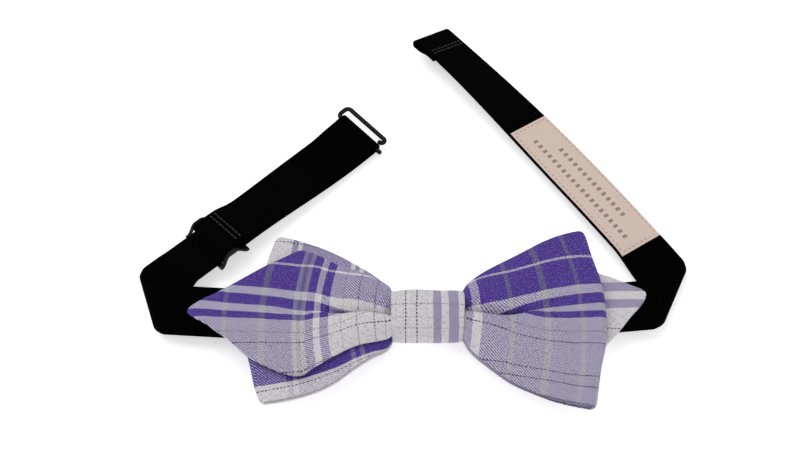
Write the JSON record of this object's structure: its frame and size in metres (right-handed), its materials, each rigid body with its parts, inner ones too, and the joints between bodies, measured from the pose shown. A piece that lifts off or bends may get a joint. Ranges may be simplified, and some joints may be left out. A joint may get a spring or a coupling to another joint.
{
  "type": "adjustable pre-tied bow tie",
  "caption": "Pre-tied plaid bow tie with one pointed and one looped end on each side, a wrapped knot and an adjustable black neckband with slider, hook and end loop.",
  "frame": {"origin": "centre of the flat rear face of the knot, which lies on the table", "axes": "+X along the bow towards its right end as seen from the front, +Y across the bow towards its upper edge, +Z out of the bow's face"},
  "size_m": [0.147, 0.1252, 0.0123],
  "materials": {
    "plaid_cloth": "purple, lilac and pale grey plaid twill",
    "knot_cloth": "pale part of the same plaid twill",
    "interlining": "matt off-white fleece",
    "pale_thread": "spun thread",
    "black_webbing": "ribbed grosgrain, slight sheen",
    "black_thread": "spun thread",
    "label_thread": "spun thread",
    "label_weave": "close satin-woven cream label",
    "black_hardware": "black enamel, half gloss"
  },
  "bodies": {
    "bow": {"front_blade_face": "plaid_cloth", "front_blade_interlining": "interlining", "front_blade_back": "plaid_cloth", "back_blade_face": "plaid_cloth", "back_blade_interlining": "interlining", "back_blade_back": "plaid_cloth", "pleat_binding": "pale_thread", "knot_wrap": "knot_cloth", "knot_interlining": "interlining", "knot_seam_stitches": "pale_thread", "band_centre": "black_webbing"},
    "left_strap": {"band_left_fold": "black_webbing", "band_left_run": "black_webbing"},
    "hook_turn": {"band_adjust_lower": "black_webbing", "band_hook_turn": "black_webbing"},
    "slider": {"band_adjust_upper": "black_webbing", "slider_frame": "black_hardware", "slider_strap_loop": "black_webbing", "slider_loop_stitches": "black_thread"},
    "hook": {"hook": "black_hardware"},
    "right_strap": {"band_right_fold": "black_webbing", "band_right_run": "black_webbing", "end_loop": "black_webbing", "end_loop_stitches": "black_thread", "woven_label": "label_weave", "label_stitches": "label_thread"}
  },
  "joints": [
    {"name": "left_fold", "type": "hinge", "parent": "bow", "child": "left_strap", "pos_m": [-0.07345, 0.00976, 0.00305], "axis": [-0.3206, 0.9472, 0], "range_deg": [0, 178], "deforming": ["band_left_fold"]},
    {"name": "right_fold", "type": "hinge", "parent": "bow", "child": "right_strap", "pos_m": [0.06567, 0.01184, 0.00305], "axis": [-0.4226, -0.9063, 0], "range_deg": [0, 178], "deforming": ["band_right_fold"]},
    {"name": "strap_adjust", "type": "slide", "parent": "left_strap", "child": "hook_turn", "axis": [0.7479, 0.6638, 0], "range_m": [-0.002, 0.022], "deforming": ["band_adjust_lower"]},
    {"name": "slider_follow", "type": "slide", "parent": "hook_turn", "child": "slider", "axis": [0.7479, 0.6638, 0], "range_m": [-0.002, 0.022], "deforming": ["band_adjust_upper"]},
    {"name": "hook_swivel", "type": "hinge", "parent": "hook_turn", "child": "hook", "pos_m": [-0.01879, 0.05933, 0.00235], "axis": [-0.6908, 0.723, 0], "range_deg": [-100, 100]}
  ],
  "couplings": [
    {"joint": "slider_follow", "follows": "strap_adjust", "ratio": 1}
  ]
}
